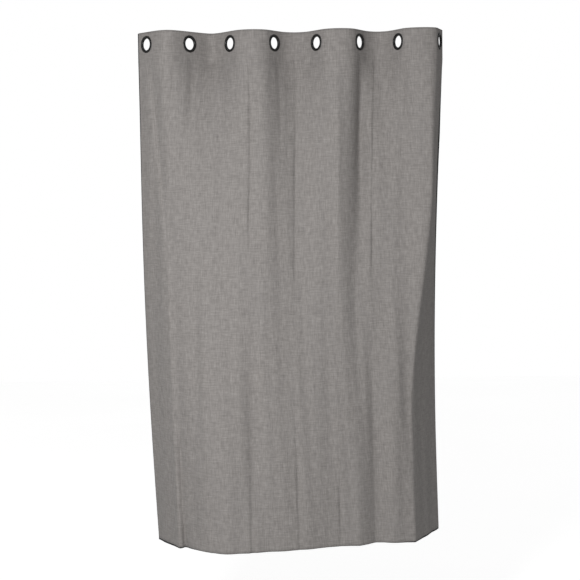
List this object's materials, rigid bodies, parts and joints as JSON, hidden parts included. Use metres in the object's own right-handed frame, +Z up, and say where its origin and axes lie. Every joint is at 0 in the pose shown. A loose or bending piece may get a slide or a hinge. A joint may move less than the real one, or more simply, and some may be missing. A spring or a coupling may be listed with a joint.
{
  "type": "curtain panel",
  "caption": "Lined cloth panel with a stiff heading and ring eyelets, hung in waves on a rod and drawn along it to cover or open a window.",
  "frame": {"origin": "on the axis of the rod that the eyelets hang on, at the middle of the hung width", "axes": "+X along the rod, to the right as seen from the room; +Y towards the window; +Z up"},
  "size_m": [1.0578, 0.3756, 1.8],
  "materials": {
    "face_cloth": "matt mottled grey slub weave",
    "lining_cloth": "smooth matt black blackout backing",
    "stiffener": "bonded heading tape, hidden",
    "eyelet": "satin black moulding",
    "label": "blank woven tape"
  },
  "bodies": {
    "pleat_1": {"face_fabric_1": "face_cloth", "heading_stiffener_1": "stiffener", "lining_1": "lining_cloth", "care_label": "label"},
    "pleat_2": {"face_fabric_2": "face_cloth", "heading_stiffener_2": "stiffener", "lining_2": "lining_cloth"},
    "pleat_3": {"face_fabric_3": "face_cloth", "heading_stiffener_3": "stiffener", "lining_3": "lining_cloth"},
    "pleat_4": {"face_fabric_4": "face_cloth", "heading_stiffener_4": "stiffener", "lining_4": "lining_cloth"},
    "pleat_5": {"face_fabric_5": "face_cloth", "heading_stiffener_5": "stiffener", "lining_5": "lining_cloth"},
    "pleat_6": {"face_fabric_6": "face_cloth", "heading_stiffener_6": "stiffener", "lining_6": "lining_cloth"},
    "pleat_7": {"face_fabric_7": "face_cloth", "heading_stiffener_7": "stiffener", "lining_7": "lining_cloth"},
    "pleat_8": {"face_fabric_8": "face_cloth", "heading_stiffener_8": "stiffener", "lining_8": "lining_cloth"},
    "eyelet_1": {"eyelet_front_1": "eyelet", "eyelet_back_1": "eyelet"},
    "eyelet_2": {"eyelet_front_2": "eyelet", "eyelet_back_2": "eyelet"},
    "eyelet_3": {"eyelet_front_3": "eyelet", "eyelet_back_3": "eyelet"},
    "eyelet_4": {"eyelet_front_4": "eyelet", "eyelet_back_4": "eyelet"},
    "eyelet_5": {"eyelet_front_5": "eyelet", "eyelet_back_5": "eyelet"},
    "eyelet_6": {"eyelet_front_6": "eyelet", "eyelet_back_6": "eyelet"},
    "eyelet_7": {"eyelet_front_7": "eyelet", "eyelet_back_7": "eyelet"},
    "eyelet_8": {"eyelet_front_8": "eyelet", "eyelet_back_8": "eyelet"}
  },
  "joints": [
    {"name": "draw", "type": "slide", "parent": "pleat_1", "child": "pleat_8", "axis": [-1, 0, 0], "range_m": [0, 0.7063], "deforming": ["face_fabric_8", "heading_stiffener_8", "lining_8", "face_fabric_1", "heading_stiffener_1", "lining_1", "care_label"]},
    {"name": "glide_7", "type": "slide", "parent": "pleat_1", "child": "pleat_7", "axis": [-1, 0, 0], "range_m": [0, 0.6081], "deforming": ["face_fabric_7", "heading_stiffener_7", "lining_7"]},
    {"name": "glide_6", "type": "slide", "parent": "pleat_1", "child": "pleat_6", "axis": [-1, 0, 0], "range_m": [0, 0.5143], "deforming": ["face_fabric_6", "heading_stiffener_6", "lining_6"]},
    {"name": "glide_5", "type": "slide", "parent": "pleat_1", "child": "pleat_5", "axis": [-1, 0, 0], "range_m": [0, 0.4107], "deforming": ["face_fabric_5", "heading_stiffener_5", "lining_5"]},
    {"name": "glide_4", "type": "slide", "parent": "pleat_1", "child": "pleat_4", "axis": [-1, 0, 0], "range_m": [0, 0.3085], "deforming": ["face_fabric_4", "heading_stiffener_4", "lining_4"]},
    {"name": "glide_3", "type": "slide", "parent": "pleat_1", "child": "pleat_3", "axis": [-1, 0, 0], "range_m": [0, 0.2021], "deforming": ["face_fabric_3", "heading_stiffener_3", "lining_3"]},
    {"name": "glide_2", "type": "slide", "parent": "pleat_1", "child": "pleat_2", "axis": [-1, 0, 0], "range_m": [0, 0.1041], "deforming": ["face_fabric_2", "heading_stiffener_2", "lining_2"]},
    {"name": "eyelet_turn_1", "type": "hinge", "parent": "pleat_1", "child": "eyelet_1", "pos_m": [-0.506, 0, -0.0092], "axis": [0, 0, -1], "range_deg": [0, 27.94]},
    {"name": "eyelet_turn_2", "type": "hinge", "parent": "pleat_2", "child": "eyelet_2", "pos_m": [-0.358, 0, -0.0092], "axis": [0, 0, 1], "range_deg": [0, 28.4]},
    {"name": "eyelet_turn_3", "type": "hinge", "parent": "pleat_3", "child": "eyelet_3", "pos_m": [-0.218, 0, -0.0092], "axis": [0, 0, -1], "range_deg": [0, 25.97]},
    {"name": "eyelet_turn_4", "type": "hinge", "parent": "pleat_4", "child": "eyelet_4", "pos_m": [-0.066, 0, -0.0092], "axis": [0, 0, 1], "range_deg": [0, 24.91]},
    {"name": "eyelet_turn_5", "type": "hinge", "parent": "pleat_5", "child": "eyelet_5", "pos_m": [0.08, 0, -0.0092], "axis": [0, 0, -1], "range_deg": [0, 24.91]},
    {"name": "eyelet_turn_6", "type": "hinge", "parent": "pleat_6", "child": "eyelet_6", "pos_m": [0.228, 0, -0.0092], "axis": [0, 0, 1], "range_deg": [0, 22.08]},
    {"name": "eyelet_turn_7", "type": "hinge", "parent": "pleat_7", "child": "eyelet_7", "pos_m": [0.362, 0, -0.0092], "axis": [0, 0, -1], "range_deg": [0, 21.48]},
    {"name": "eyelet_turn_8", "type": "hinge", "parent": "pleat_8", "child": "eyelet_8", "pos_m": [0.503, 0, -0.0092], "axis": [0, 0, 1], "range_deg": [0, 13.87]}
  ],
  "couplings": [
    {"joint": "glide_7", "follows": "draw", "ratio": 0.86026},
    {"joint": "glide_6", "follows": "draw", "ratio": 0.72745},
    {"joint": "glide_5", "follows": "draw", "ratio": 0.58077},
    {"joint": "glide_4", "follows": "draw", "ratio": 0.43607},
    {"joint": "glide_3", "follows": "draw", "ratio": 0.28543},
    {"joint": "glide_2", "follows": "draw", "ratio": 0.14668},
    {"joint": "eyelet_turn_1", "follows": "draw", "rad_per_m": 0.68803},
    {"joint": "eyelet_turn_2", "follows": "draw", "rad_per_m": 0.69934},
    {"joint": "eyelet_turn_3", "follows": "draw", "rad_per_m": 0.63928},
    {"joint": "eyelet_turn_4", "follows": "draw", "rad_per_m": 0.61305},
    {"joint": "eyelet_turn_5", "follows": "draw", "rad_per_m": 0.61305},
    {"joint": "eyelet_turn_6", "follows": "draw", "rad_per_m": 0.54304},
    {"joint": "eyelet_turn_7", "follows": "draw", "rad_per_m": 0.52838},
    {"joint": "eyelet_turn_8", "follows": "draw", "rad_per_m": 0.34023}
  ]
}
